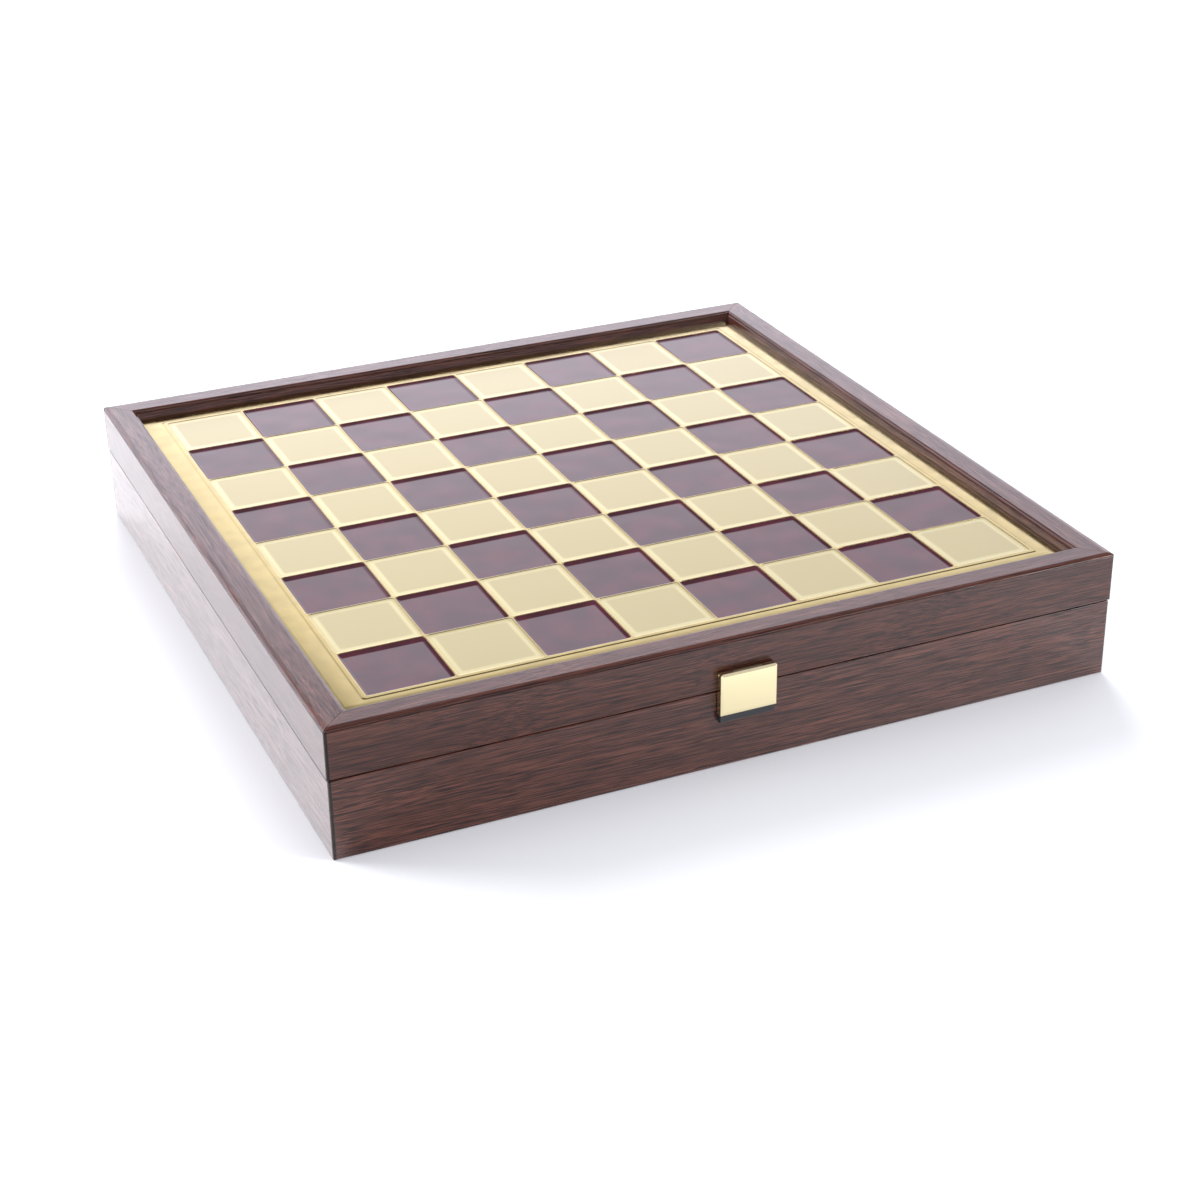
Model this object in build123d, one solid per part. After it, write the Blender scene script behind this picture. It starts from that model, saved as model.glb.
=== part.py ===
from build123d import *
import os

# A square chess case whose hinged lid is the chess board, in millimetres.
# +X runs to the right along the front, +Y away from the front, +Z up.
# The origin is on the table under the middle of the case.
os.makedirs("parts", exist_ok=True)

# Outer case
square_pitch = 30.0  # one chess square, from ridge centre to ridge centre
squares = 8  # squares along one side of the board
border = 20.0  # from the edge of the squares to the lid's outer face
base_height = 28.0
lid_height = 18.0
lid_overhang = 0.3  # how far the lid stands out past the base, all round
wall = 8.0  # thickness of the side boards
corner_radius = 0.7  # rounding of the upright corners
seam_radius = 0.6  # rounding of the two edges that meet at the seam
seam_gap = 0.35  # height of the open line that shows between lid and base
seam_gap_depth = 1.6
joint_bevel = 0.25  # fine bevel where the rim sits on the lid's side boards
foot_bevel = 0.4  # bevel round the base's lowest edge

# Bottom of the base
panel_seat = 4.0  # how much of the side board's thickness hides the bottom panel's edge
panel_thickness = 3.0
felt_thickness = 1.0
panel_clearance = 0.15  # gap round the bottom panel and the felt

# Board on the lid
board_drop = 3.3  # from the top of the rim down to the top of the ridges
ridge_height = 0.5
ridge_width = 1.0
frame_ridge_width = 2.0  # the raised line round all the squares
sheet_thickness = 0.8
fill_depth = 0.4  # enamel or lacquer in each square
backing_thickness = 4.0
board_seat = 3.0  # how far the board and its backing reach into the side boards
board_clearance = 0.1
lining_thickness = 6.4
lining_clearance = 0.3

# Rim moulding round the board
rim_outer_height = 1.0  # from the joint with the side boards up to the top
rim_round_width = 2.0  # how far the outer edge's flattened rounding reaches in over the top
rim_flat_width = 6.9  # flat top between the two rounded edges
rim_inner_radius = 0.9
rim_quirk_drop = 0.3  # short upright face under the inner rounding
rim_ledge_width = 0.7
rim_ledge_drop = 0.15
rim_slope_width = 0.5  # the steep face that meets the board

# Storage tray in the base
tray_clearance = 0.3
tray_floor_thickness = 1.5
tray_drop = 1.0  # from the seam down to the top of the dividers
tray_edge = 3.0
divider = 2.4
tray_rows = 4
tray_columns = 8

# Hinges at the back
hinge_length = 30.0
hinge_spacing = 150.0
leaf_thickness = 0.8
leaf_depth = 7.0  # how far a leaf reaches over the back board
barrel_radius = 1.4
hinge_pin_radius = 0.7
knuckle_count = 5
knuckle_gap = 0.2
barrel_gap = 0.2  # between the barrel and the lid's back face
running_clearance = 0.05  # radial, between a pin and its knuckles
mortise_clearance = 0.1
hinge_screw_radius = 1.1
hinge_screw_length = 9.0
hinge_screw_pitch = 16.0  # between a leaf's two screws

# Clasp at the front
clasp_width = 20.0
clasp_height = 15.0
clasp_sheet = 0.6
clasp_knuckle_radius = 1.0
clasp_pin_radius = 0.45
clasp_gap = 0.2  # clear space before and behind the clasp's barrel
clasp_bevel_width = 0.9
clasp_bevel_depth = 0.3
clasp_corner_cut = 0.6  # off the flap's two top corners, where its folds meet
middle_knuckle = 10.4  # length of the fixed knuckle between the flap's two
clasp_leaf_height = 6.5  # from the clasp's top down to the fixed leaf's lower edge
clasp_screw_radius = 0.7
clasp_screw_length = 5.0
clasp_screw_pitch = 10.0
catch_top_drop = 2.0  # from the seam down to the catch's top
catch_gap = 0.3  # clear space between the catch and the flap
catch_depth = 2.0  # how deep the catch sits in the front board
catch_lip_height = 2.7  # the part that shows under the flap
catch_lip_inset = 0.3  # from each side of the flap in to the lip's end
catch_rounding = 0.6

# Screws, and cuts in general
screw_clearance = 0.05
screw_tip_radius = 0.2
head_recess = 0.1  # a screw head lies this much below its leaf's face
slot_width = 0.5
slot_depth = 0.3
overcut = 1.0  # how far a bore's cut runs past the ends of what it goes through

# Sizes worked out from those above
grid_half = square_pitch * squares / 2
lid_half = grid_half + border
base_half = lid_half - lid_overhang
case_height = base_height + lid_height
panel_top = felt_thickness + panel_thickness
ridge_top = case_height - board_drop
sheet_top = ridge_top - ridge_height
sheet_bottom = sheet_top - sheet_thickness
backing_bottom = sheet_bottom - backing_thickness
board_half = lid_half - wall + board_seat - board_clearance
rim_inner_width = rim_inner_radius + rim_ledge_width + rim_slope_width
rim_width = rim_round_width + rim_flat_width + rim_inner_width
rim_round_height = rim_outer_height - joint_bevel
tray_half = base_half - wall - tray_clearance
tray_top = base_height - tray_drop
pocket_width = (2 * (tray_half - tray_edge) - (tray_columns - 1) * divider) / tray_columns
pocket_length = (2 * (tray_half - tray_edge) - (tray_rows - 1) * divider) / tray_rows
hinge_axis_y = lid_half + barrel_gap + barrel_radius
hinge_screw_y = lid_half - leaf_depth / 2
clasp_proud = 2 * clasp_gap + 2 * clasp_knuckle_radius + clasp_sheet
clasp_face_y = -(lid_half + clasp_proud)
flap_inner_y = clasp_face_y + clasp_sheet
clasp_top = base_height + clasp_height / 2
clasp_bottom = clasp_top - clasp_height
clasp_axis_y = -(lid_half + clasp_gap + clasp_knuckle_radius)
clasp_axis_z = clasp_top - clasp_knuckle_radius
clasp_leaf_bottom = clasp_top - clasp_leaf_height
catch_top = base_height - catch_top_drop
catch_width = clasp_width - 2 * clasp_sheet - 2 * catch_gap


def block(x0, x1, y0, y1, z0, z1):
    """A box given by its lowest and highest corners."""
    size = Box(x1 - x0, y1 - y0, z1 - z0)
    return Pos((x0 + x1) / 2, (y0 + y1) / 2, (z0 + z1) / 2) * size


def rod(radius, x0, x1, y, z):
    """A round bar along X."""
    return Pos((x0 + x1) / 2, y, z) * Rot(0, 90, 0) * Cylinder(radius, x1 - x0)


def mitre_prism(half, depth, rounding):
    """The space of a square frame's front side, between its two mitred corners."""
    inner = half - depth
    corner = half - rounding * (1 - 0.5**0.5)  # where the mitre line meets the rounded corner
    with BuildSketch() as outline:
        with BuildLine():
            Line((-half + rounding, -half), (half - rounding, -half))
            CenterArc((half - rounding, -half + rounding), rounding, -90, 45)
            Polyline((corner, -corner), (inner, -inner), (-inner, -inner), (-corner, -corner))
            CenterArc((-half + rounding, -half + rounding), rounding, 225, 45)
        make_face()
    return extrude(outline.sketch, case_height)


def frame_sides(profile, half, depth):
    """The front, right, back and left sides of a mitred frame with this section."""
    front = extrude(profile, half, both=True) & mitre_prism(half, depth, corner_radius)
    return [Rot(0, 0, 90 * turn) * front for turn in range(4)]


def save(name, shape):
    """Writes one node, as a group of its solids."""
    solids = Compound(children=list(shape)) if isinstance(shape, (list, tuple)) else shape
    export_step(solids, f"parts/{name}.step")


def base_profile():
    """Section of a base side board, in the plane across the front."""
    outer = -base_half
    with BuildSketch(Plane.YZ) as section:
        with BuildLine():
            Polyline(
                (outer + seam_radius, base_height),
                (outer + wall, base_height),
                (outer + wall, panel_top),
                (outer + panel_seat, panel_top),
                (outer + panel_seat, 0),
                (outer + foot_bevel, 0),
                (outer, foot_bevel),
                (outer, base_height - seam_radius),
            )
            CenterArc((outer + seam_radius, base_height - seam_radius), seam_radius, 90, 90)
        make_face()
    return section.sketch


def lid_profile():
    """Section of a lid side board: a rebate carries the board, and the seam's open line is at its foot."""
    outer = -lid_half
    foot = base_height + seam_gap
    wall_top = case_height - rim_outer_height
    rebate = outer + wall - board_seat
    with BuildSketch(Plane.YZ) as section:
        with BuildLine():
            CenterArc((outer + seam_radius, foot + seam_radius), seam_radius, 180, 90)
            Polyline(
                (outer + seam_radius, foot),
                (outer + seam_gap_depth, foot),
                (outer + seam_gap_depth, base_height),
                (outer + wall, base_height),
                (outer + wall, backing_bottom),
                (rebate, backing_bottom),
                (rebate, wall_top),
                (outer + joint_bevel, wall_top),
                (outer, wall_top - joint_bevel),
                (outer, foot + seam_radius),
            )
        make_face()
    return section.sketch


def rim_profile():
    """Section of the rim moulding: round outer edge, flat top, stepped and sloping inner edge."""
    outer = -lid_half
    foot = case_height - rim_outer_height
    tongue = outer + wall - board_seat + board_clearance
    round_centre = (outer + rim_round_width, case_height - rim_round_height)
    flat_end = outer + rim_round_width + rim_flat_width
    quirk = flat_end + rim_inner_radius
    quirk_bottom = case_height - rim_inner_radius - rim_quirk_drop
    ledge_end = quirk + rim_ledge_width
    with BuildSketch(Plane.YZ) as section:
        with BuildLine():
            EllipticalCenterArc(round_centre, rim_round_width, rim_round_height, 90, arc_size=90)
            Line((outer + rim_round_width, case_height), (flat_end, case_height))
            CenterArc((flat_end, case_height - rim_inner_radius), rim_inner_radius, 90, -90)
            Polyline(
                (quirk, case_height - rim_inner_radius),
                (quirk, quirk_bottom),
                (ledge_end, quirk_bottom - rim_ledge_drop),
                (ledge_end + rim_slope_width, sheet_top),
                (tongue, sheet_top),
                (tongue, foot),
                (outer + joint_bevel, foot),
                (outer, foot + joint_bevel),
            )
        make_face()
    return section.sketch


def countersunk_screw(radius, leaf, length):
    """A slotted wood screw that points down, with the face of its leaf at z = 0."""
    head_height = leaf - head_recess
    head = Pos(0, 0, -head_recess - head_height / 2) * Cone(radius, radius + head_height, head_height)
    tip_height = 2 * radius
    shank_length = length - tip_height
    shank = Pos(0, 0, -leaf - shank_length / 2) * Cylinder(radius, shank_length)
    tip = Pos(0, 0, -leaf - shank_length - tip_height / 2) * Cone(screw_tip_radius, radius, tip_height)
    slot_reach = radius + leaf
    slot_bottom = -head_recess - slot_depth
    slot = block(-slot_reach, slot_reach, -slot_width / 2, slot_width / 2, slot_bottom, 0)
    return head + shank + tip - slot


def screw_hole(radius, leaf, length):
    """What a countersunk screw needs out of its leaf and out of the board under it."""
    grown = radius + screw_clearance
    sink = Pos(0, 0, -leaf / 2) * Cone(grown, grown + leaf, leaf)
    depth = leaf + length + screw_clearance
    return sink + Pos(0, 0, -depth / 2) * Cylinder(grown, depth)


def hinge_leaf(centre_x, upward):
    """One butt hinge leaf with its knuckles. The base's leaf has the odd knuckles."""
    z0 = base_height if upward else base_height - leaf_thickness
    x0 = centre_x - hinge_length / 2
    front = lid_half - leaf_depth
    leaf = block(x0, x0 + hinge_length, front, hinge_axis_y, z0, z0 + leaf_thickness)
    pitch = hinge_length / knuckle_count
    for index in range(knuckle_count):
        start = x0 + index * pitch
        if (index % 2 == 1) == upward:
            end_gap = knuckle_gap / 2
            leaf += rod(barrel_radius, start + end_gap, start + pitch - end_gap, hinge_axis_y, base_height)
        else:
            leaf -= rod(barrel_radius + knuckle_gap, start, start + pitch, hinge_axis_y, base_height)
    bore = hinge_pin_radius + running_clearance
    return leaf - rod(bore, x0 - overcut, x0 + hinge_length + overcut, hinge_axis_y, base_height)


def hinge_screw_places(centre_x):
    """Where a leaf's two screws go in, on the seam."""
    half_pitch = hinge_screw_pitch / 2
    return [Pos(x, hinge_screw_y, base_height) for x in (centre_x - half_pitch, centre_x + half_pitch)]


def leaf_mortise(centre_x, upward):
    """The shallow recess in the back board that takes a hinge leaf."""
    z0 = base_height if upward else base_height - leaf_thickness
    x0 = centre_x - hinge_length / 2 - mortise_clearance
    x1 = centre_x + hinge_length / 2 + mortise_clearance
    front = lid_half - leaf_depth - mortise_clearance
    return block(x0, x1, front, hinge_axis_y, z0, z0 + leaf_thickness)


def clasp_flap():
    """The folded brass flap: bevelled face, two side returns and two outer knuckles."""
    half = clasp_width / 2
    bevel_back = clasp_face_y + clasp_bevel_depth
    upright = Rot(90, 0, 0)
    face_width = clasp_width - 2 * clasp_bevel_width
    face_height = clasp_height - 2 * clasp_bevel_width
    face = Pos(0, clasp_face_y, base_height) * upright * Rectangle(face_width, face_height)
    rear = Pos(0, bevel_back, base_height) * upright * Rectangle(clasp_width, clasp_height)
    flap = loft([rear, face])
    flap += block(-half, half, bevel_back, flap_inner_y, clasp_bottom, clasp_top)
    knuckle_start = middle_knuckle / 2 + clasp_gap
    rear_edge = clasp_axis_y + clasp_knuckle_radius
    for side in (-1, 1):
        inner_x, outer_x = sorted((side * knuckle_start, side * half))
        flap += rod(clasp_knuckle_radius, inner_x, outer_x, clasp_axis_y, clasp_axis_z)
        flap += block(inner_x, outer_x, flap_inner_y, clasp_axis_y, clasp_axis_z, clasp_top)
        inner_x, outer_x = sorted((side * (half - clasp_sheet), side * half))
        flap += block(inner_x, outer_x, flap_inner_y, rear_edge, clasp_bottom, clasp_axis_z)
    cut_side = clasp_corner_cut * 2**0.5
    corner = Rot(0, 45, 0) * Box(cut_side, 4 * clasp_proud, cut_side)
    flap -= [Pos(side * half, clasp_axis_y, clasp_top) * corner for side in (-1, 1)]
    bore = clasp_pin_radius + running_clearance
    return flap - rod(bore, -half - overcut, half + overcut, clasp_axis_y, clasp_axis_z)


def clasp_screw_places():
    """Where the fixed leaf's two screws go in from the front."""
    z = (clasp_leaf_bottom + clasp_axis_z - clasp_knuckle_radius) / 2
    y = -lid_half - clasp_sheet
    return [Pos(side * clasp_screw_pitch / 2, y, z) * Rot(90, 0, 0) for side in (-1, 1)]


def clasp_leaf():
    """The leaf that is screwed to the lid and holds the flap's pin in its knuckle."""
    half = clasp_width / 2 - clasp_sheet - catch_gap
    shoulder = clasp_axis_z - clasp_knuckle_radius - clasp_gap
    back, front = -lid_half, -lid_half - clasp_sheet
    middle = middle_knuckle / 2
    leaf = block(-half, half, front, back, clasp_leaf_bottom, shoulder)
    leaf += block(-middle, middle, front, back, shoulder, clasp_axis_z)
    leaf += rod(clasp_knuckle_radius, -middle, middle, clasp_axis_y, clasp_axis_z)
    bore = clasp_pin_radius + running_clearance
    leaf -= rod(bore, -middle - overcut, middle + overcut, clasp_axis_y, clasp_axis_z)
    hole = screw_hole(clasp_screw_radius, clasp_sheet, clasp_screw_length)
    return leaf - [place * hole for place in clasp_screw_places()]


def clasp_catch():
    """The black catch on the base: a body behind the flap and a lip that shows under it."""
    back = -base_half + catch_depth
    front = flap_inner_y + catch_gap
    lip_top = clasp_bottom - catch_gap
    body = block(-catch_width / 2, catch_width / 2, front, back, lip_top, catch_top)
    lip_bottom = lip_top - catch_lip_height
    lip_half = clasp_width / 2 - catch_lip_inset
    lip = block(-lip_half, lip_half, front, back, lip_bottom, lip_top)
    front_edges = lip.edges().filter_by(Axis.X).group_by(Axis.Y)[0].group_by(Axis.Z)[0]
    return body + fillet(front_edges, catch_rounding)


def board_plate():
    """The brass sheet with its raised ridges: one round all the squares, and one between each two."""
    sheet = block(-board_half, board_half, -board_half, board_half, sheet_bottom, sheet_top)
    cell = square_pitch - ridge_width
    ridge_half = grid_half - ridge_width / 2 + frame_ridge_width
    ridges = block(-ridge_half, ridge_half, -ridge_half, ridge_half, sheet_top, ridge_top)
    cells = GridLocations(square_pitch, square_pitch, squares, squares)
    opening = Pos(0, 0, sheet_top + ridge_height / 2) * Box(cell, cell, ridge_height)
    return sheet + (ridges - [place * opening for place in cells])


def square_fill(parity):
    """The enamel or lacquer in every other square; the near left square has parity 0."""
    cell = square_pitch - ridge_width
    fills = []
    for column in range(squares):
        for row in range(squares):
            if (column + row) % 2 == parity:
                x = (column + 0.5) * square_pitch - grid_half
                y = (row + 0.5) * square_pitch - grid_half
                fills.append(Pos(x, y, sheet_top + fill_depth / 2) * Box(cell, cell, fill_depth))
    return fills


# Base: four mitred side boards, the bottom panel and its felt
base_front, base_right, base_back, base_left = frame_sides(base_profile(), base_half, wall)
base_screw_hole = screw_hole(hinge_screw_radius, leaf_thickness, hinge_screw_length)
lid_screw_hole = mirror(base_screw_hole, Plane.XY)
hinge_places = {"left": -hinge_spacing / 2, "right": hinge_spacing / 2}
for hinge_x in hinge_places.values():
    base_back -= leaf_mortise(hinge_x, upward=False)
    base_back -= [place * base_screw_hole for place in hinge_screw_places(hinge_x)]
base_front -= clasp_catch()
save("base_front_wall", base_front)
save("base_right_wall", base_right)
save("base_back_wall", base_back)
save("base_left_wall", base_left)

panel_half = base_half - panel_seat - panel_clearance
save("base_bottom_panel", block(-panel_half, panel_half, -panel_half, panel_half, felt_thickness, panel_top))
save("base_felt", block(-panel_half, panel_half, -panel_half, panel_half, 0, felt_thickness))

# Tray: a lined floor, four edge strips, dividers between the rows and short ones between the columns
tray_floor_top = panel_top + tray_floor_thickness
inner = tray_half - tray_edge
save("tray_floor", block(-tray_half, tray_half, -tray_half, tray_half, panel_top, tray_floor_top))
save("tray_edge_front", block(-tray_half, tray_half, -tray_half, -inner, tray_floor_top, tray_top))
save("tray_edge_back", block(-tray_half, tray_half, inner, tray_half, tray_floor_top, tray_top))
save("tray_edge_left", block(-tray_half, -inner, -inner, inner, tray_floor_top, tray_top))
save("tray_edge_right", block(inner, tray_half, -inner, inner, tray_floor_top, tray_top))
for row in range(tray_rows):
    row_start = -inner + row * (pocket_length + divider)
    row_end = row_start + pocket_length
    if row < tray_rows - 1:
        row_divider = block(-inner, inner, row_end, row_end + divider, tray_floor_top, tray_top)
        save(f"tray_row_divider_{row + 1}", row_divider)
    cross = []
    for column in range(tray_columns - 1):
        x = -inner + (column + 1) * pocket_width + column * divider
        cross.append(block(x, x + divider, row_start, row_end, tray_floor_top, tray_top))
    save(f"tray_cross_dividers_row_{row + 1}", cross)

# Lid: four mitred side boards, the rim moulding, the backing and the board
lid_front, lid_right, lid_back, lid_left = frame_sides(lid_profile(), lid_half, wall)
for hinge_x in hinge_places.values():
    lid_back -= leaf_mortise(hinge_x, upward=True)
    lid_back -= [place * lid_screw_hole for place in hinge_screw_places(hinge_x)]
clasp_hole = screw_hole(clasp_screw_radius, clasp_sheet, clasp_screw_length)
lid_front -= [place * clasp_hole for place in clasp_screw_places()]
save("lid_front_wall", lid_front)
save("lid_right_wall", lid_right)
save("lid_back_wall", lid_back)
save("lid_left_wall", lid_left)
mouldings = frame_sides(rim_profile(), lid_half, rim_width)
for side, moulding in zip(("front", "right", "back", "left"), mouldings):
    save(f"rim_{side}", moulding)

save("board_backing", block(-board_half, board_half, -board_half, board_half, backing_bottom, sheet_bottom))
save("board_plate", board_plate())
save("board_dark_squares", square_fill(0))
save("board_light_squares", square_fill(1))
lining_half = lid_half - wall - lining_clearance
lining_bottom = backing_bottom - lining_thickness
save("lid_lining", block(-lining_half, lining_half, -lining_half, lining_half, lining_bottom, backing_bottom))

# Hinges: two leaves, a pin and four screws each
base_screws = []
lid_screws = []
base_screw = countersunk_screw(hinge_screw_radius, leaf_thickness, hinge_screw_length)
lid_screw = mirror(base_screw, Plane.XY)
pin_half = hinge_length / 2 - knuckle_gap / 2
for side, hinge_x in hinge_places.items():
    places = hinge_screw_places(hinge_x)
    base_leaf = hinge_leaf(hinge_x, upward=False) - [place * base_screw_hole for place in places]
    lid_leaf = hinge_leaf(hinge_x, upward=True) - [place * lid_screw_hole for place in places]
    pin = rod(hinge_pin_radius, hinge_x - pin_half, hinge_x + pin_half, hinge_axis_y, base_height)
    save(f"hinge_base_leaf_{side}", base_leaf)
    save(f"hinge_lid_leaf_{side}", lid_leaf)
    save(f"hinge_pin_{side}", pin)
    base_screws += [place * base_screw for place in places]
    lid_screws += [place * lid_screw for place in places]
save("hinge_base_screws", base_screws)
save("hinge_lid_screws", lid_screws)

# Clasp: the fixed leaf with its screws, the pin, the flap, and the catch on the base
clasp_screw = countersunk_screw(clasp_screw_radius, clasp_sheet, clasp_screw_length)
clasp_pin_half = clasp_width / 2 - clasp_gap
save("clasp_leaf", clasp_leaf())
save("clasp_leaf_screws", [place * clasp_screw for place in clasp_screw_places()])
save("clasp_pin", rod(clasp_pin_radius, -clasp_pin_half, clasp_pin_half, clasp_axis_y, clasp_axis_z))
save("clasp_flap", clasp_flap())
save("clasp_catch", clasp_catch())
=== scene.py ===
import math

import bmesh
import bpy
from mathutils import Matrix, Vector, noise


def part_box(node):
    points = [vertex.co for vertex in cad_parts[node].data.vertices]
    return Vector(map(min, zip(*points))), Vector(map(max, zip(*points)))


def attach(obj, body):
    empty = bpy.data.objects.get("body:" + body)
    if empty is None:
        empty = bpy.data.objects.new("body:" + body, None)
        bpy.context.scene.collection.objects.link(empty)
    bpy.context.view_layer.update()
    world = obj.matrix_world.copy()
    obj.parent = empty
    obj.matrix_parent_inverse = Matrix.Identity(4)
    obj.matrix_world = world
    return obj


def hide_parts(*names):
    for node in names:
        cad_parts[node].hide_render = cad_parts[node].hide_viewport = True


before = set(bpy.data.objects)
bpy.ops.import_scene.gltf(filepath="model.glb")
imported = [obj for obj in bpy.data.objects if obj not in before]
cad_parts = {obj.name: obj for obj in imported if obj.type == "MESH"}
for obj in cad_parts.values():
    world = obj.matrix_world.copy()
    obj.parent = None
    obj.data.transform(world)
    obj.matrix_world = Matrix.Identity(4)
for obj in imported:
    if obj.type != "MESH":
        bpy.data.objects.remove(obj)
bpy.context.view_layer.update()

MM = 0.001

# Camera, solved from the board's crossings and the case's corners in the photograph
CAMERA_PLACE = (-301.9 * MM, -715.14 * MM, 388.9 * MM)
CAMERA_TURN = (63.05, 0.70, -23.99)  # degrees about X, Y and Z
LENS = 69.5  # mm on a sensor 36 mm wide

# Sizes that the CAD boxes don't give by themselves
SQUARES = 8
RIDGE_WIDTH = 1.0 * MM
RIDGE_HEIGHT = 0.5 * MM
FRAME_RIDGE_WIDTH = 2.0 * MM
TRAY_ROWS = 4
TRAY_COLUMNS = 8

# Forms that only the looks have
SQUARE_ROUNDING = 1.0 * MM  # at the corners of a square's recess
FRAME_ROUNDING = 1.2 * MM  # at the corners of the ridge round all the squares
RIDGE_SIDE = (0.02 * MM, 0.22 * MM)  # where a ridge's soft side starts and ends, out from its square
FRAME_SIDE = (-0.06 * MM, 0.32 * MM)  # the same for the outermost ridge, in from its outer edge
BORDER_STEP = 0.15 * MM  # from the outermost ridge down to the border
RIM_STRIP = (0.1 * MM, 1.2 * MM)  # beside the rim, where the sheet drops to its plain height
FILL_LEVEL = 0.42 * MM  # from the sheet up to where a fill meets the ridges
FILL_OVERLAP = 0.16 * MM  # how far a fill runs into the ridges' soft sides
ENAMEL_RISE = 0.30 * MM  # how far a fill climbs to that level from its middle
LACQUER_RISE = 0.05 * MM
ENAMEL_WAVES = 0.03 * MM
LACQUER_WAVES = 0.01 * MM
FILL_WAVE_CELL = 9 * MM
FILL_RIPPLE_CELL = 2.2 * MM
FILL_RIPPLE_SHARE = 0.6  # of the waves' height, on the stretch where a fill climbs
STRIP_ROUNDING = 0.45  # of a tray strip's thickness
PAD_EDGE_DROP = 3.6 * MM  # how far the pad's crown falls off at its edges
PAD_EDGE_REACH = 5 * MM  # and how far in from them
PAD_CORNER_PULL = 2.0 * MM  # how much further the corners are drawn in
PAD_CORNER_REACH = 12 * MM
FELT_ROUNDING = 0.2 * MM


def corners(node):
    """A CAD node's lowest and highest corners."""
    low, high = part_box(node)
    return Vector(low), Vector(high)


def colour(red, green, blue):
    return (red, green, blue, 1.0)


# Sizes read from the frame
LID_HALF = corners("lid_front_wall")[1].x
BASE_HALF = corners("base_front_wall")[1].x
PLATE_LOW, PLATE_HIGH = corners("board_plate")
RIDGE_TOP = PLATE_HIGH.z
SHEET_TOP = RIDGE_TOP - RIDGE_HEIGHT
GRID_HALF = corners("board_dark_squares")[1].x + RIDGE_WIDTH / 2
PITCH = 2 * GRID_HALF / SQUARES
CELL = PITCH - RIDGE_WIDTH
RIDGE_EDGE = GRID_HALF - RIDGE_WIDTH / 2 + FRAME_RIDGE_WIDTH
RIM_INSIDE = -corners("rim_front")[1].y


class Shader:
    """The nodes of a material or of the world, with short ways to add and join them."""

    def __init__(self, owner):
        owner.use_nodes = True
        self.owner = owner
        self.tree = owner.node_tree
        self.surface = self.tree.nodes.get("Principled BSDF")
        self.coordinates = self.node("ShaderNodeTexCoord").outputs
        self.place = self.coordinates["Object"]

    def feed(self, socket, value):
        if isinstance(value, bpy.types.NodeSocket):
            self.tree.links.new(value, socket)
        else:
            socket.default_value = value

    def node(self, kind, inputs=None, **settings):
        made = self.tree.nodes.new(kind)
        for name, value in settings.items():
            setattr(made, name, value)
        for key, value in (inputs or {}).items():
            self.feed(made.inputs[key], value)
        return made

    def math(self, operation, *values):
        made = self.node("ShaderNodeMath", operation=operation)
        for socket, value in zip(made.inputs, values):
            self.feed(socket, value)
        return made.outputs[0]

    def split(self, vector):
        return self.node("ShaderNodeSeparateXYZ", {0: vector}).outputs

    def noise(self, vector, detail=2.0):
        """A value round 0.5, with cells one unit of the vector across."""
        settings = {"Vector": vector, "Scale": 1.0, "Detail": detail}
        return self.node("ShaderNodeTexNoise", settings).outputs[0]

    def mottle(self, cell, detail=2.0):
        """Noise with cells of this size in metres; three sizes give drawn-out cells."""
        sizes = cell if isinstance(cell, tuple) else (cell, cell, cell)
        scale = [1 / size for size in sizes]
        scaled = self.node("ShaderNodeVectorMath", {0: self.place, 1: scale}, operation="MULTIPLY")
        return self.noise(scaled.outputs[0], detail)

    def fade(self, value, low, high, start=0.0, end=1.0):
        """Start where the value is at low or past it, end at high, and smooth between."""
        inputs = {"Value": value, "From Min": low, "From Max": high, "To Min": start, "To Max": end}
        return self.node("ShaderNodeMapRange", inputs, interpolation_type="SMOOTHSTEP").outputs[0]

    def mix(self, factor, first, second):
        made = self.node("ShaderNodeMix", {0: factor, 2: first, 3: second})
        return made.outputs[0]

    def blend(self, factor, first, second):
        """A colour from first to second."""
        made = self.node("ShaderNodeMix", data_type="RGBA")
        for index, value in ((0, factor), (6, first), (7, second)):
            self.feed(made.inputs[index], value)
        return made.outputs[2]

    def bump(self, height, strength, distance):
        inputs = {"Height": height, "Strength": strength, "Distance": distance}
        self.feed(self.surface.inputs["Normal"], self.node("ShaderNodeBump", inputs).outputs[0])

    def set(self, **sockets):
        """Sets the surface's sockets, named in lower case with lines for spaces."""
        for socket in self.surface.inputs:
            key = socket.name.lower().replace(" ", "_")
            if key in sockets:
                self.feed(socket, sockets.pop(key))
        if sockets:
            raise KeyError(f"no such sockets: {sorted(sockets)}")
        return self.owner


def new_shader(name):
    return Shader(bpy.data.materials.new(name))


# Wood: dark straight-grained laminate with a satin lacquer
WOOD_DARK = colour(0.034, 0.011, 0.009)
WOOD_RED = colour(0.190, 0.055, 0.032)
WOOD_PORE = colour(0.012, 0.006, 0.006)
WOOD_JOINT = colour(0.006, 0.003, 0.002)
STREAK_LENGTH = 22 * MM
STREAK_WIDTH = 0.23 * MM
BAND_SHARE = 0.08  # how much broad bands shift the streaks
ZONE_REDNESS = 0.7  # of the dullest zones, as a share of the reddest
GRAIN_TILT = 0.012  # how far the streaks run off the edges, down per length
WANDER_LENGTH = 90 * MM  # of the waves in which the grain wanders off its line
WANDER_WIDTH = 25 * MM
WANDER_REACH = 4 * MM
WOOD_ROUGHNESS = 0.24
JOINT_ROUGHNESS = 0.85
END_LINE = 0.5 * MM  # the black line down each board's left end, before it fades
END_LINE_FADE = 0.8 * MM
MITRE_LINE = 0.10 * MM  # the rim's black line, from its middle to where it fades
MITRE_LINE_FADE = 0.14 * MM
MITRE_HIGHLIGHT = 0.5 * MM  # from the black line to the painted highlight beside it
MITRE_HIGHLIGHT_FADE = 0.20 * MM
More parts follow.
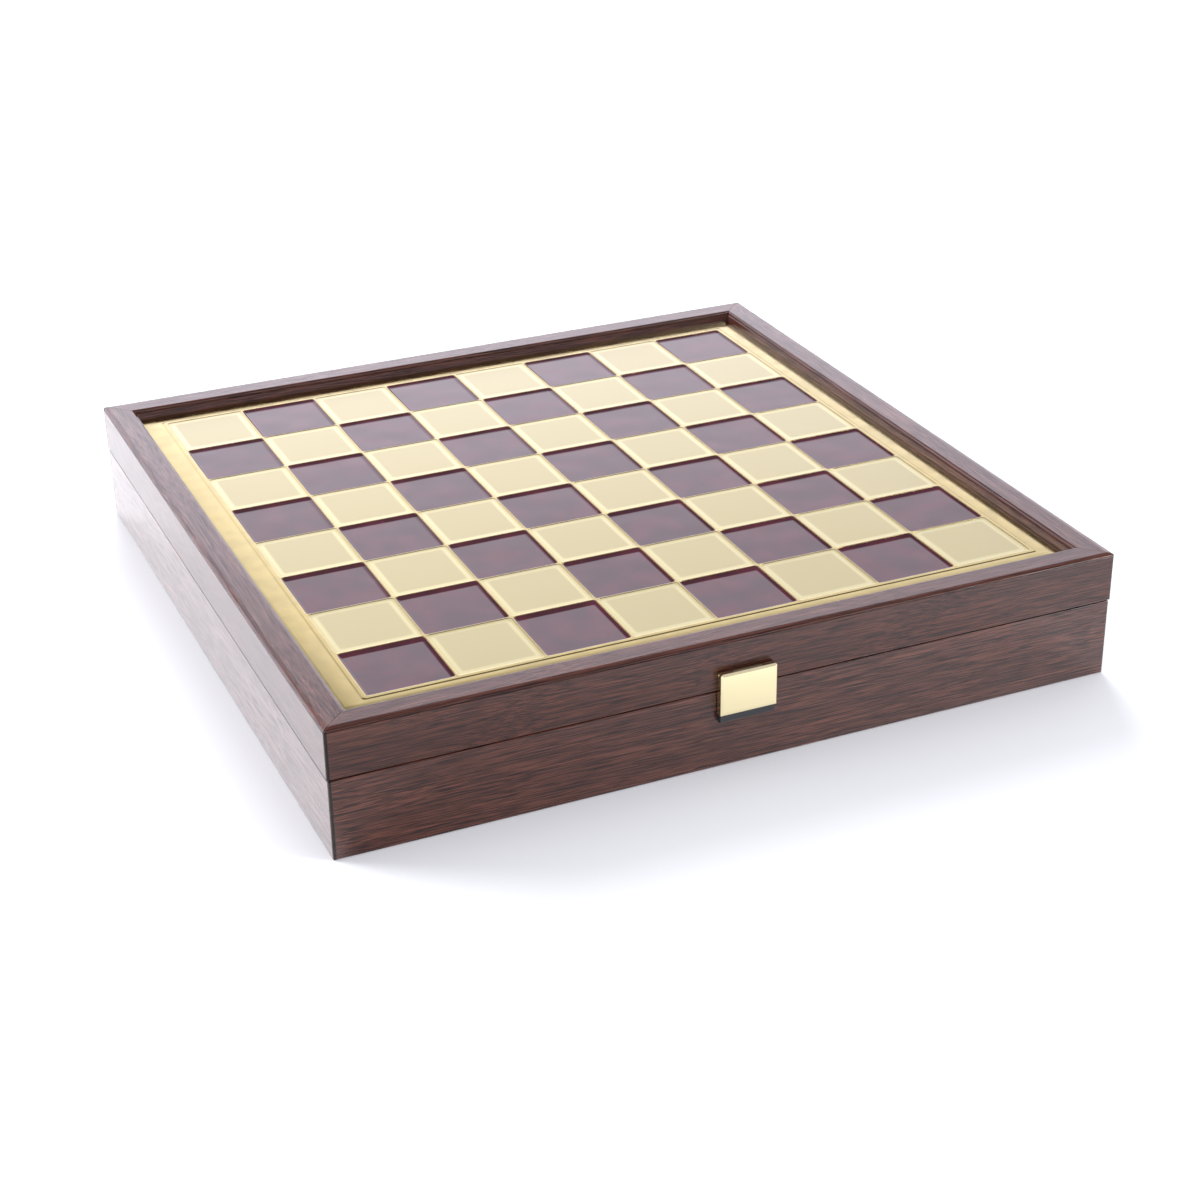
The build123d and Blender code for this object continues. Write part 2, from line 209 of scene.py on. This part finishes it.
BASE_FINISH = (0.95, 0.5)  # redness of the wood, and weight of its lacquer
# The lid's wood is the base's wood painted less red, as painted shade; its lacquer is lighter too.
LID_SHADED_REDNESS_AND_LACQUER = (0.70, 0.25)
RIM_FINISH = (0.7, 0.75)


def grain(shader, place, long_cell, wide_cell, shift, detail=2.0):
    """Noise drawn out along the board."""
    length, across, height = place
    inputs = {
        0: shader.math("MULTIPLY_ADD", length, 1 / long_cell, shift),
        1: shader.math("DIVIDE", across, wide_cell),
        2: shader.math("DIVIDE", height, wide_cell),
    }
    return shader.noise(shader.node("ShaderNodeCombineXYZ", inputs).outputs[0], detail)


def wood(name, along, seed, redness, gloss, left_end=None):
    """Wood whose grain runs along X or Y. With a left end, a place along the grain, the board has a
    black line down that end. Without one it is a rim moulding, with a fine black line on its mitres and
    a painted highlight beside that line."""
    shader = new_shader(name)
    x, y, z = shader.split(shader.place)
    length, across = (x, y) if along == "x" else (y, x)
    shift = 13.7 * seed
    wander = grain(shader, (length, across, z), WANDER_LENGTH, WANDER_WIDTH, shift, 1.0)
    wander = shader.math("MULTIPLY", shader.math("SUBTRACT", wander, 0.5), WANDER_REACH)
    height = shader.math("ADD", shader.math("MULTIPLY_ADD", length, GRAIN_TILT, z), wander)
    place = (length, shader.math("ADD", across, wander), height)

    main = grain(shader, place, STREAK_LENGTH, STREAK_WIDTH, shift)
    pores = grain(shader, place, STREAK_LENGTH / 2, STREAK_WIDTH * 0.75, shift + 31, 1.0)
    bands = grain(shader, place, STREAK_LENGTH * 3, STREAK_WIDTH * 8, shift + 57)
    zones = grain(shader, place, STREAK_LENGTH * 4, STREAK_WIDTH * 20, shift + 83, 1.0)
    value = shader.math("MULTIPLY_ADD", shader.math("SUBTRACT", bands, 0.5), BAND_SHARE, main)
    strength = shader.fade(zones, 0.35, 0.65, ZONE_REDNESS * redness, redness)
    red = shader.math("MULTIPLY", shader.fade(value, 0.38, 0.62), strength)
    pore_floor = 0.25 if left_end else 0.5
    solid = shader.fade(pores, 0.64, 0.52, pore_floor)
    tone = shader.blend(solid, WOOD_PORE, shader.blend(red, WOOD_DARK, WOOD_RED))

    if left_end:
        from_end = shader.math("ABSOLUTE", shader.math("SUBTRACT", length, left_end))
        joint = shader.fade(from_end, END_LINE + END_LINE_FADE, END_LINE)
    else:
        off_mitre = shader.math("SUBTRACT", shader.math("ABSOLUTE", y), shader.math("ABSOLUTE", x))
        off_line = shader.math("ABSOLUTE", off_mitre)
        joint = shader.fade(off_line, MITRE_LINE + MITRE_LINE_FADE, MITRE_LINE)
        # Painted highlight: a pale stripe on one side of each mitre line, the wood lightened halfway to
        # its red.
        off_highlight = shader.math("ABSOLUTE", shader.math("SUBTRACT", off_mitre, MITRE_HIGHLIGHT))
        light = shader.fade(off_highlight, MITRE_LINE + MITRE_HIGHLIGHT_FADE, MITRE_LINE, 0.0, 0.5)
        tone = shader.blend(light, tone, WOOD_RED)
    tone = shader.blend(joint, tone, WOOD_JOINT)
    shader.bump(solid, 0.2, 0.03 * MM)
    coat = shader.math("MULTIPLY", shader.mix(red, 0.7, 1.3), gloss)
    shader.set(coat_weight=shader.math("MULTIPLY", coat, solid), coat_roughness=0.15)
    roughness = shader.mix(joint, WOOD_ROUGHNESS, JOINT_ROUGHNESS)
    return shader.set(base_color=tone, roughness=roughness, ior=1.4)


# Board: brass under lacquer, with dark enamel squares
SHEET_BRASS = colour(0.48, 0.38, 0.14)
SHEET_BRASS_YELLOW = colour(0.52, 0.39, 0.12)
FIELD_BRASS = colour(0.675, 0.570, 0.236)
HIGHLIGHT_LINE_BRASS = colour(0.72, 0.63, 0.27)
EDGE_REFLECTION_BRASS = colour(0.62, 0.51, 0.18)
ENAMEL_DARK = colour(0.040, 0.005, 0.011)
ENAMEL_LIGHT = colour(0.075, 0.010, 0.020)
EDGE_WIDTH = 0.4 * MM  # round a light square, the stretch up the ridge, painted yellower as the reflection there
LINE_START = 1.0 * MM  # then a painted highlight line, from here
LINE_END = 1.7 * MM
FIELD_START = 2.5 * MM  # and from here in, the frosted field


def board_brass():
    """The board's sheet: fine cloudy satin."""
    shader = new_shader("board brass")
    tone = shader.blend(shader.mottle(16 * MM), SHEET_BRASS, SHEET_BRASS_YELLOW)
    shader.bump(shader.mottle(0.25 * MM), 0.1, 0.01 * MM)
    roughness = shader.fade(shader.mottle(7 * MM, 3.0), 0.35, 0.65, 0.14, 0.22)
    shader.set(coat_weight=0.5, coat_roughness=0.1)
    return shader.set(base_color=tone, metallic=1.0, roughness=roughness)


def edge_distance(shader):
    """How far a place is inside its own square of the board, in metres."""
    x, y, _ = shader.split(shader.place)
    reach = []
    for value in (x, y):
        part = shader.math("FRACT", shader.math("DIVIDE", value, PITCH))
        reach.append(shader.math("ABSOLUTE", shader.math("SUBTRACT", part, 0.5)))
    far = shader.math("SMOOTH_MAX", reach[0], reach[1], 0.05)
    return shader.math("MULTIPLY", shader.math("SUBTRACT", CELL / PITCH / 2, far), PITCH)


def clear_lacquer():
    """Light squares: brass under clear lacquer, frosted inside, with a painted highlight line round the
    frosted field and a painted yellower reflection outside it, where the lacquer climbs the ridges.
    """
    shader = new_shader("clear lacquer")
    inside = edge_distance(shader)
    # Painted highlight line and painted reflection at the edges; only the roughness difference is the
    # real frosting.
    line = shader.fade(inside, EDGE_WIDTH, LINE_START)
    field = shader.fade(inside, LINE_END, FIELD_START)
    tone = shader.blend(field, shader.blend(line, EDGE_REFLECTION_BRASS, HIGHLIGHT_LINE_BRASS), FIELD_BRASS)
    shader.set(coat_weight=1.0, coat_roughness=0.03)
    return shader.set(base_color=tone, metallic=1.0, roughness=shader.mix(field, 0.30, 0.42))


def oxblood_enamel():
    """Dark squares: deep red glossy enamel, a little mottled."""
    shader = new_shader("oxblood enamel")
    tone = shader.blend(shader.fade(shader.mottle(10 * MM, 4.0), 0.35, 0.7), ENAMEL_DARK, ENAMEL_LIGHT)
    return shader.set(base_color=tone, roughness=0.03, ior=1.6)


def polished_brass():
    """The clasp's folded sheet: nearly a mirror, with faint rubbing marks."""
    shader = new_shader("polished brass")
    marks = shader.mottle((3 * MM, 3 * MM, 0.3 * MM), 3.0)
    roughness = shader.math("MULTIPLY_ADD", marks, 0.10, 0.07)
    return shader.set(base_color=colour(0.80, 0.70, 0.43), metallic=1.0, roughness=roughness)


def hinge_brass():
    """Hinge leaves, pins and screws: brushed brass."""
    shader = new_shader("hinge brass")
    brushing = shader.mottle((5 * MM, 0.17 * MM, 0.17 * MM))
    shader.bump(brushing, 0.1, 0.01 * MM)
    roughness = shader.math("MULTIPLY_ADD", brushing, 0.2, 0.25)
    return shader.set(base_color=colour(0.78, 0.60, 0.30), metallic=1.0, roughness=roughness)


def velvet():
    """Burgundy velvet with a nap that lies unevenly."""
    shader = new_shader("velvet")
    nap = shader.fade(shader.mottle(14 * MM, 3.0), 0.35, 0.65)
    tone = shader.blend(nap, colour(0.065, 0.007, 0.014), colour(0.092, 0.011, 0.020))
    shader.bump(shader.mottle(0.3 * MM), 0.5, 0.08 * MM)
    shader.set(sheen_weight=0.8, sheen_roughness=0.4, sheen_tint=colour(0.6, 0.15, 0.2))
    return shader.set(base_color=tone, roughness=0.95)


def felt():
    """Black pressed felt."""
    shader = new_shader("felt")
    fibres = shader.mottle(0.7 * MM, 4.0)
    tone = shader.blend(fibres, colour(0.008, 0.008, 0.009), colour(0.035, 0.034, 0.036))
    shader.bump(fibres, 0.6, 0.15 * MM)
    return shader.set(base_color=tone, roughness=0.95, sheen_weight=0.3)


def black_rubber():
    """The catch: satin black, slightly mottled."""
    shader = new_shader("black rubber")
    specks = shader.mottle(0.5 * MM)
    tone = shader.blend(specks, colour(0.012, 0.013, 0.016), colour(0.03, 0.032, 0.038))
    shader.bump(specks, 0.2, 0.03 * MM)
    return shader.set(base_color=tone, roughness=0.5)


def fibreboard():
    """Bare pressed board."""
    shader = new_shader("fibreboard")
    specks = shader.mottle(0.8 * MM, 3.0)
    tone = shader.blend(specks, colour(0.16, 0.09, 0.05), colour(0.34, 0.21, 0.12))
    shader.bump(specks, 0.3, 0.05 * MM)
    return shader.set(base_color=tone, roughness=0.8)


def paint(node, material):
    """Gives a CAD node its material."""
    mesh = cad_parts[node].data
    mesh.materials.clear()
    mesh.materials.append(material)


def grid_solid(builder, xs, ys, height, underside):
    """Adds a closed solid over a grid of places: a shaped top, straight sides and a flat underside."""
    top = [[builder.verts.new((x, y, height(x, y))) for y in ys] for x in xs]
    front = [builder.verts.new((x, ys[0], underside)) for x in xs]
    back = [builder.verts.new((x, ys[-1], underside)) for x in xs]
    for i in range(len(xs) - 1):
        for j in range(len(ys) - 1):
            builder.faces.new((top[i][j], top[i + 1][j], top[i + 1][j + 1], top[i][j + 1])).smooth = True
        builder.faces.new((front[i], front[i + 1], top[i + 1][0], top[i][0]))
        builder.faces.new((back[i + 1], back[i], top[i][-1], top[i + 1][-1]))
        builder.faces.new((front[i + 1], front[i], back[i], back[i + 1]))
    builder.faces.new([front[0]] + top[0] + [back[0]])
    builder.faces.new([back[-1]] + top[-1][::-1] + [front[-1]])


def piece(name, builder, material, body, node):
    """Turns the built mesh into a piece that stands for a CAD node and moves with its body."""
    mesh = bpy.data.meshes.new(name)
    builder.to_mesh(mesh)
    builder.free()
    mesh.materials.append(material)
    made = bpy.data.objects.new(name, mesh)
    bpy.context.scene.collection.objects.link(made)
    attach(made, body)
    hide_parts(node)
    return made


def both_sides(steps, reach=0.0):
    """Grid lines at these steps in from an edge, on both sides of the middle."""
    return {side * (reach - step) for step in steps for side in (-1, 1)}


def smooth_step(value, low, high):
    t = min(max((value - low) / (high - low), 0.0), 1.0)
    return t * t * (3 - 2 * t)


def rounded_box(x, y, half, radius):
    """How far a place is outside a square with rounded corners, negative inside it."""
    dx = abs(x) - (half - radius)
    dy = abs(y) - (half - radius)
    outside = math.hypot(max(dx, 0.0), max(dy, 0.0))
    return outside + min(max(dx, dy), 0.0) - radius


def from_centre(value):
    """How far a place is from the middle of its nearest row of squares."""
    index = min(max(math.floor(value / PITCH), -SQUARES // 2), SQUARES // 2 - 1)
    return value - (index + 0.5) * PITCH


def board_lines():
    """Grid lines for the sheet, close together at the ridges."""
    near = [step * MM for step in (0.0, 0.26, 0.32, 0.38, 0.44, 0.50, 0.75, 1.1, 1.6, 4.0, 9.0)]
    lines = set()
    for index in range(-SQUARES // 2, SQUARES // 2 + 1):
        lines |= {index * PITCH + offset for offset in both_sides(near)}
    lines = {round(value, 7) for value in lines if abs(value) < RIDGE_EDGE - 1.2 * MM}
    lines |= {(index + 0.5) * PITCH for index in range(-SQUARES // 2, SQUARES // 2)}
    edge = [step * MM for step in (1.1, 0.7, 0.4, 0.3, 0.2, 0.1, 0.0, -0.08, -0.3, -1.2)]
    by_rim = [step * MM for step in (0.1, 0.3, 0.65, 1.0, 1.2)]
    lines |= both_sides(edge, RIDGE_EDGE) | both_sides(by_rim, RIM_INSIDE)
    return sorted(lines | {PLATE_LOW.x, PLATE_HIGH.x})


def board_plate():
    """The brass sheet with soft-edged ridges. Thick lacquer nearly levels the border with them."""

    def height(x, y):
        from_square = rounded_box(from_centre(x), from_centre(y), CELL / 2, SQUARE_ROUNDING)
        from_border = -rounded_box(x, y, RIDGE_EDGE, FRAME_ROUNDING)
        from_rim = RIM_INSIDE - max(abs(x), abs(y))
        ridge = RIDGE_HEIGHT * smooth_step(from_square, *RIDGE_SIDE)
        ridge -= BORDER_STEP * (1 - smooth_step(from_border, *FRAME_SIDE))
        return SHEET_TOP + ridge * smooth_step(from_rim, *RIM_STRIP)

    builder = bmesh.new()
    lines = board_lines()
    grid_solid(builder, lines, lines, height, PLATE_LOW.z)
    piece("brass_sheet", builder, board_brass(), "lid", "board_plate")


def square_fills(name, parity, rise, waviness, material, slot, node):
    """The enamel or lacquer in every other square. It climbs the ridges, and most at the far ones and
    the right ones, as it does when the board hardens a little off level."""
    level = SHEET_TOP + FILL_LEVEL - rise
    left_foot, right_foot, near_foot, far_foot = 0.7 * MM, 1.5 * MM, 0.7 * MM, 2.8 * MM
    half = CELL / 2 + FILL_OVERLAP
    steps = (0.0, 0.1, 0.22, 0.4, 0.55, 0.7, 0.95, 1.3, 1.5, 1.9, 2.3, 2.6, 2.8, 3.4, 5.0, 8.0, 11.5)
    steps = [step * MM for step in steps]
    offsets = sorted(both_sides(steps, half) | {0.0})
    builder = bmesh.new()
    for column in range(SQUARES):
        for row in range(SQUARES):
            if (column + row) % 2 != parity:
                continue
            cx = (column + 0.5) * PITCH - GRID_HALF
            cy = (row + 0.5) * PITCH - GRID_HALF

            def height(x, y):
                across = 1 - (half - abs(x - cx)) / (right_foot if x > cx else left_foot)
                along = 1 - (half - abs(y - cy)) / (far_foot if y > cy else near_foot)
                climb = min(math.hypot(max(across, 0.0), max(along, 0.0)), 1.0) ** 1.5
                wave = noise.noise(Vector((x, y, 0.0)) / FILL_WAVE_CELL) * waviness
                ripple = noise.noise(Vector((x, y, FILL_WAVE_CELL)) / FILL_RIPPLE_CELL) * waviness
                ripple *= FILL_RIPPLE_SHARE * climb
                return level + rise * climb + wave * (1 - climb) + ripple

            grid_solid(builder, [cx + v for v in offsets], [cy + v for v in offsets], height, SHEET_TOP)
    piece(name, builder, material, "lid", node)


def box(builder, low, high):
    """Adds a box between two corners and returns its vertices."""
    made = bmesh.ops.create_cube(builder, size=1.0)["verts"]
    for vert in made:
        vert.co = Vector([low[i] if vert.co[i] < 0 else high[i] for i in range(3)])
    return made


def bevel(builder, edges, width, segments):
    bmesh.ops.bevel(builder, geom=edges, offset=width, segments=segments, profile=0.5, affect="EDGES")


def rounded_bar(builder, low, high, radius):
    """Adds a bar between two corners with its upper edges rounded."""
    made = box(builder, low, high)
    edges = {edge for vert in made for edge in vert.link_edges}
    upper = [edge for edge in edges if all(v.co.z > high[2] - radius / 10 for v in edge.verts)]
    bevel(builder, upper, radius, 5)


def tray_strips(node, count=1):
    """The velvet-covered strips of one tray node, side by side along X."""
    low, high = corners(node)
    across = corners("tray_row_divider_1")
    thickness = across[1].y - across[0].y
    width = high.x - low.x if count == 1 else thickness
    pitch = 0.0 if count == 1 else (high.x - low.x - width) / (count - 1)
    builder = bmesh.new()
    for index in range(count):
        start = low.x + index * pitch
        end = (start + width, high.y, high.z)
        rounded_bar(builder, (start, low.y, low.z), end, STRIP_ROUNDING * thickness)
    for face in builder.faces:
        face.smooth = True
    piece(f"velvet_{node}", builder, VELVET, "base", node)


def lining():
    """The pad under the board: crowned, and pulled in at its edges."""
    low, high = corners("lid_lining")
    half = high.x
    steps = (0.0, 0.3, 0.8, 1.6, 3.0, 5.0, 8.0, 13.0, 20.0, 30.0, 45.0, 65.0, 90.0)
    lines = sorted(both_sides([step * MM for step in steps], half) | {0.0})

    def upside_down(x, y):
        nearest = half - max(abs(x), abs(y))
        other = half - min(abs(x), abs(y))
        inside = max(nearest - PAD_CORNER_PULL * math.exp(-other / PAD_CORNER_REACH), 0.0)
        return -low.z - PAD_EDGE_DROP * math.exp(-inside / PAD_EDGE_REACH)

    builder = bmesh.new()
    grid_solid(builder, lines, lines, upside_down, -high.z)
    for vert in builder.verts:
        vert.co.z = -vert.co.z
    bmesh.ops.reverse_faces(builder, faces=builder.faces)
    made = piece("lining_pad", builder, VELVET, "lid", "lid_lining")


def felt_sheet():
    """The felt under the base, with softened edges."""
    low, high = corners("base_felt")
    builder = bmesh.new()
    box(builder, low, high)
    bevel(builder, builder.edges[:], FELT_ROUNDING, 2)
    made = piece("felt_base", builder, felt(), "base", "base_felt")


def camera():
    data = bpy.data.cameras.new("camera")
    data.lens = LENS
    data.sensor_width = 36.0
    made = bpy.data.objects.new("camera", data)
    made.location = CAMERA_PLACE
    made.rotation_euler = [math.radians(angle) for angle in CAMERA_TURN]
    bpy.context.scene.collection.objects.link(made)
    bpy.context.scene.camera = made


def area_lamp(name, place, size, power):
    """A soft lamp that points at the origin."""
    data = bpy.data.lights.new(name, "AREA")
    data.shape = "ELLIPSE"
    data.size, data.size_y = size
    data.energy = power
    made = bpy.data.objects.new(name, data)
    made.location = place
    made.rotation_euler = (-Vector(place)).to_track_quat("-Z", "Y").to_euler()
    bpy.context.scene.collection.objects.link(made)
    return made


# Levels of the studio round the case, where 1 is white
SOFT_LEVEL = 0.69  # plain light from all round
HORIZON_LEVEL = 2.5  # what reflections show: bright walls, dimmer higher up, and a dark ceiling
UPPER_LEVEL = 1.7
CEILING_LEVEL = 0.25

# The walls' stretches, as parts of a direction of length 1: up, to the right and away
WALL_FOOT = (0.10, 0.30)
WALL_MIDDLE = (0.33, 0.46)
WALL_TOP = (0.47, 0.55)
WALL_RIGHT = (0.25, 0.60)
WALL_BEHIND = (-0.3, 0.3)
FOOT_SHARE = 0.5  # of the walls' full level
RIGHT_SHARE = 0.75
FRONT_SHARE = 0.7
REFLECTED_TINT = colour(0.97, 0.96, 1.08)

# The floor
FLOOR_WHITE = colour(0.86, 0.875, 0.93)
FLOOR_SEEN_GLOW = 0.26
FLOOR_SEEN_GLOW_FAR = 0.50  # beyond the lamps' reach, so that the floor stays white to its edge
FLOOR_GLOW_BESIDE = 1.0  # in reflections, on the left of the case
FLOOR_GLOW_LEFT = 0.08  # before its left end
FLOOR_GLOW_RIGHT = 0.9
FLOOR_GLOW_ENDS = (0.22, 0.36)  # m behind the middle, where the floor stops glowing in reflections
FLOOR_SEEN_STRETCH = (0.6, 2.5)  # m from the middle, where the seen floor brightens
FLOOR_HALF = 6.0
SHADE_REACH = 0.08  # how near the case the floor darkens

# Two broad lamps behind, whose shadows meet in front: name, place and power
LAMPS = (("left", (-1.7, 1.3, 1.2), 44.0), ("right", (0.5, 1.9, 1.4), 40.0))
LAMP_SIZE = (1.2, 0.6)
GLINT_PLACE = (1.3, -1.15, 1.25)
GLINT_SIZE = (0.6, 0.6)
GLINT_POWER = 11.0


def surroundings():
    """White studio walls for reflections, plain light for the rest, and white behind the case."""
    world = bpy.data.worlds.new("studio")
    bpy.context.scene.world = world
    shader = Shader(world)
    right, away, height = shader.split(shader.coordinates["Generated"])
    walls = shader.fade(height, *WALL_MIDDLE, HORIZON_LEVEL, UPPER_LEVEL)
    walls = shader.math("MULTIPLY", walls, shader.fade(height, *WALL_FOOT, FOOT_SHARE, 1.0))
    walls = shader.math("MULTIPLY", walls, shader.fade(right, *WALL_RIGHT, 1.0, RIGHT_SHARE))
    walls = shader.math("MULTIPLY", walls, shader.fade(away, *WALL_BEHIND, FRONT_SHARE, 1.0))
    ceiling = shader.fade(height, *WALL_TOP, 1.0, CEILING_LEVEL / UPPER_LEVEL)
    ray = shader.node("ShaderNodeLightPath").outputs
    level = shader.mix(ray["Is Glossy Ray"], SOFT_LEVEL, shader.math("MULTIPLY", walls, ceiling))
    level = shader.mix(ray["Is Camera Ray"], level, 1.0)
    tint = shader.blend(ray["Is Glossy Ray"], colour(1, 1, 1), REFLECTED_TINT)
    background = world.node_tree.nodes["Background"]
    shader.feed(background.inputs["Color"], tint)
    shader.feed(background.inputs["Strength"], level)


def studio_floor():
    """A white floor that keeps the case's shadow."""
    builder = bmesh.new()
    bmesh.ops.create_grid(builder, x_segments=2, y_segments=2, size=FLOOR_HALF)
    mesh = bpy.data.meshes.new("floor")
    builder.to_mesh(mesh)
    builder.free()
    shader = new_shader("floor")
    ray = shader.node("ShaderNodeLightPath").outputs
    shade = shader.node("ShaderNodeAmbientOcclusion", {"Distance": SHADE_REACH}, samples=4)
    openness = shade.outputs["AO"]
    x, y, _ = shader.split(shader.place)
    distance = shader.node("ShaderNodeVectorMath", {0: shader.place}, operation="LENGTH")
    distance = distance.outputs["Value"]
    seen = shader.fade(distance, *FLOOR_SEEN_STRETCH, FLOOR_SEEN_GLOW, FLOOR_SEEN_GLOW_FAR)
    seen = shader.math("MULTIPLY", shader.math("MULTIPLY", ray["Is Camera Ray"], seen), openness)
    before = shader.fade(x, -LID_HALF, LID_HALF, FLOOR_GLOW_LEFT, FLOOR_GLOW_RIGHT)
    beside = shader.fade(x, -LID_HALF + 10 * MM, -LID_HALF)
    reflected = shader.mix(beside, before, FLOOR_GLOW_BESIDE)
    reflected = shader.math("MULTIPLY", reflected, shader.fade(y, *FLOOR_GLOW_ENDS, 1.0, 0.0))
    glow = shader.math("MULTIPLY_ADD", ray["Is Glossy Ray"], reflected, seen)
    shader.set(base_color=FLOOR_WHITE, roughness=0.9, specular_ior_level=0.0)
    mesh.materials.append(shader.set(emission_color=FLOOR_WHITE, emission_strength=glow))
    floor = bpy.data.objects.new("floor", mesh)
    bpy.context.scene.collection.objects.link(floor)


def lights():
    """The lamps behind, which reflections don't show, and a small one in front that glints."""
    for name, place, power in LAMPS:
        area_lamp(name, place, LAMP_SIZE, power).visible_glossy = False
    area_lamp("glint", GLINT_PLACE, GLINT_SIZE, GLINT_POWER)


VELVET = velvet()

sides = (("front", "x"), ("right", "y"), ("back", "x"), ("left", "y"))
for seed, (side, along) in enumerate(sides):
    left = -1 if side in ("front", "right") else 1
    base_end, lid_end = left * BASE_HALF, left * LID_HALF
    paint(f"base_{side}_wall", wood(f"wenge base {side}", along, 3 * seed + 1, *BASE_FINISH, base_end))
    paint(f"lid_{side}_wall", wood(f"wenge lid {side}", along, 3 * seed + 2, *LID_SHADED_REDNESS_AND_LACQUER, lid_end))
    paint(f"rim_{side}", wood(f"wenge rim {side}", along, 3 * seed + 3, *RIM_FINISH))
bare_board = fibreboard()
clasp_brass = polished_brass()
pin_brass = hinge_brass()
paint("base_bottom_panel", bare_board)
paint("board_backing", bare_board)
paint("tray_floor", VELVET)
paint("clasp_catch", black_rubber())
for node in sorted(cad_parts):
    if node.startswith("hinge_"):
        paint(node, pin_brass)
    elif node.startswith("clasp_") and node != "clasp_catch":
        paint(node, clasp_brass)

board_plate()
enamel = oxblood_enamel()
lacquer = clear_lacquer()
enamel_form = (ENAMEL_RISE, ENAMEL_WAVES)
lacquer_form = (LACQUER_RISE, LACQUER_WAVES)
square_fills("enamel_squares", 0, *enamel_form, enamel, "oxblood_enamel", "board_dark_squares")
square_fills("lacquer_squares", 1, *lacquer_form, lacquer, "clear_lacquer", "board_light_squares")
for side in ("front", "back", "left", "right"):
    tray_strips(f"tray_edge_{side}")
for index in range(1, TRAY_ROWS):
    tray_strips(f"tray_row_divider_{index}")
for index in range(1, TRAY_ROWS + 1):
    tray_strips(f"tray_cross_dividers_row_{index}", TRAY_COLUMNS - 1)
lining()
felt_sheet()
surroundings()
studio_floor()
lights()
camera()

bpy.context.scene.view_settings.view_transform = "Standard"
